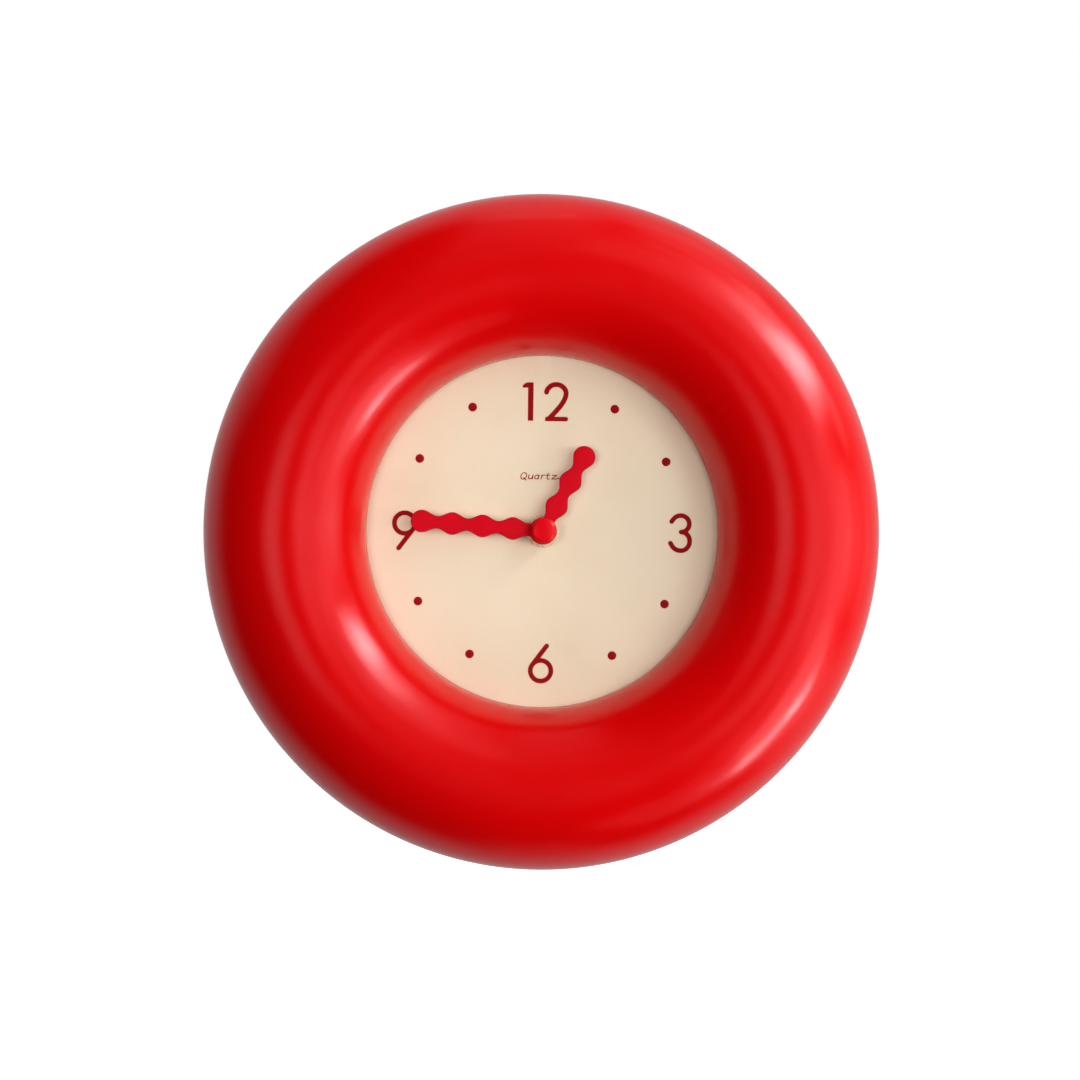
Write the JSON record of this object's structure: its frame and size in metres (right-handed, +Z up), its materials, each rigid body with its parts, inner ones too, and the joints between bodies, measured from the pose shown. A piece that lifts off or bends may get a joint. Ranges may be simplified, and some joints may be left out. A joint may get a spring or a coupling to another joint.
{
  "type": "wall clock",
  "caption": "Round wall clock: fat tubular ring around a deep-set dial, beaded hour and minute hands, battery quartz movement behind.",
  "frame": {"origin": "point in the wall plane where the hanging nail bears on the top of the keyhole slot; the clock's axis is 112 mm below it", "axes": "+Z up through 12 o'clock, +Y into the wall (the dial faces -Y), +X to the right seen from the front"},
  "size_m": [0.3, 0.058, 0.3],
  "materials": {
    "ring_red": "gloss",
    "dial_cream": "matte",
    "screw_steel": "satin",
    "movement_black": "matte",
    "natural_plastic": "satin",
    "brass": "satin",
    "gasket_rubber": "matte",
    "battery_sleeve": "satin",
    "contact_nickel": "satin",
    "board": "matte",
    "chip_resin": "satin",
    "crystal_can": "gloss",
    "copper_wire": "gloss",
    "motor_steel": "satin",
    "magnet": "satin",
    "wheel_plastic": "satin",
    "knob_plastic": "satin",
    "hand_red": "satin",
    "cap_red": "gloss"
  },
  "bodies": {
    "case": {"front_shell": "ring_red", "rear_shell": "ring_red", "dial_plate": "dial_cream", "case_screw_1": "screw_steel", "case_screw_2": "screw_steel", "case_screw_3": "screw_steel", "case_screw_4": "screw_steel", "case_screw_5": "screw_steel", "case_screw_6": "screw_steel", "movement_case": "movement_black", "movement_cover": "movement_black", "train_bridge": "natural_plastic", "coil_bobbin": "natural_plastic", "threaded_bushing": "brass", "dial_washer": "brass", "bushing_nut": "brass", "rubber_gasket": "gasket_rubber", "positive_contact": "contact_nickel", "negative_contact": "contact_nickel", "circuit_board": "board", "chip_blob": "chip_resin", "quartz_crystal": "crystal_can", "coil_winding": "copper_wire", "coil_core": "motor_steel", "stator": "motor_steel"},
    "battery": {"battery_aa": "battery_sleeve"},
    "minute": {"minute_hand": "hand_red", "minute_hand_bush": "brass", "hand_cap": "cap_red", "centre_wheel": "brass"},
    "hour": {"hour_hand": "hand_red", "hour_hand_bush": "brass", "hour_wheel": "wheel_plastic"},
    "motion": {"motion_wheel": "wheel_plastic"},
    "setting": {"setting_knob": "knob_plastic"},
    "third": {"third_wheel": "wheel_plastic"},
    "seconds": {"seconds_wheel": "wheel_plastic"},
    "intermediate": {"intermediate_wheel": "wheel_plastic"},
    "rotor": {"rotor_pinion": "wheel_plastic", "rotor_magnet": "magnet"}
  },
  "joints": [
    {"name": "minute_turn", "type": "hinge", "parent": "case", "child": "minute", "pos_m": [0, 0, -0.112], "axis": [0, 1, 0], "continuous": true},
    {"name": "hour_turn", "type": "hinge", "parent": "case", "child": "hour", "pos_m": [0, 0, -0.112], "axis": [0, 1, 0], "continuous": true},
    {"name": "motion_turn", "type": "hinge", "parent": "case", "child": "motion", "pos_m": [-0.00139, 0, -0.10412], "axis": [0, 1, 0], "continuous": true},
    {"name": "setting_turn", "type": "hinge", "parent": "case", "child": "setting", "pos_m": [-0.00278, 0, -0.09624], "axis": [0, 1, 0], "continuous": true},
    {"name": "third_turn", "type": "hinge", "parent": "case", "child": "third", "pos_m": [-0.01088, 0, -0.112], "axis": [0, 1, 0], "continuous": true},
    {"name": "seconds_turn", "type": "hinge", "parent": "case", "child": "seconds", "pos_m": [0, 0, -0.112], "axis": [0, 1, 0], "continuous": true},
    {"name": "intermediate_turn", "type": "hinge", "parent": "case", "child": "intermediate", "pos_m": [0.01076, 0, -0.11294], "axis": [0, 1, 0], "continuous": true},
    {"name": "rotor_turn", "type": "hinge", "parent": "case", "child": "rotor", "pos_m": [0.01865, 0, -0.11007], "axis": [0, 1, 0], "continuous": true},
    {"name": "battery_slide", "type": "slide", "parent": "case", "child": "battery", "axis": [0, 1, 0], "range_m": [0, 0.03]}
  ],
  "couplings": [
    {"joint": "hour_turn", "follows": "minute_turn", "ratio": 0.083333},
    {"joint": "motion_turn", "follows": "minute_turn", "ratio": -0.33333},
    {"joint": "setting_turn", "follows": "minute_turn", "ratio": 1},
    {"joint": "third_turn", "follows": "minute_turn", "ratio": -7.5},
    {"joint": "seconds_turn", "follows": "minute_turn", "ratio": 60},
    {"joint": "intermediate_turn", "follows": "minute_turn", "ratio": -300},
    {"joint": "rotor_turn", "follows": "minute_turn", "ratio": 1800}
  ]
}
